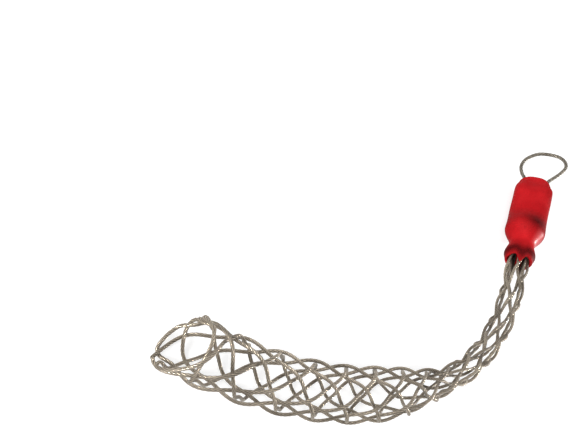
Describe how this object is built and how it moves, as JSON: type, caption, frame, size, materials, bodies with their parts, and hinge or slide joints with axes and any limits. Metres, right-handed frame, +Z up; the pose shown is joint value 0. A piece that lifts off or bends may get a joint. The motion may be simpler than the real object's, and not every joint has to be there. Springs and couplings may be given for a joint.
{
  "type": "cable pulling grip",
  "caption": "Braided steel mesh sock that grips a cable's end, folded open at its mouth and pressed into a ferrule under a red shrink sleeve, with a bare wire-rope pulling eye.",
  "frame": {"origin": "middle of the base of the bounding box of the whole grip, on the surface it lies on", "axes": "+X runs along the wide end of the sock, from its open mouth towards the sleeve; +Y is the side that the neck bends to; +Z is up"},
  "size_m": [0.1948, 0.1272, 0.0177],
  "materials": {
    "mesh_steel": "bright stranded wire",
    "eye_steel": "dull stranded wire rope",
    "ferrule_metal": "pressed",
    "shrink_plastic": "satin, shrunk on"
  },
  "bodies": {
    "root": {"mesh_wire_1": "mesh_steel", "mesh_wire_2": "mesh_steel", "mesh_wire_3": "mesh_steel", "mesh_wire_4": "mesh_steel", "mesh_wire_5": "mesh_steel", "eye_rope": "eye_steel", "ferrule": "ferrule_metal", "heat_shrink_sleeve": "shrink_plastic"}
  },
  "joints": []
}
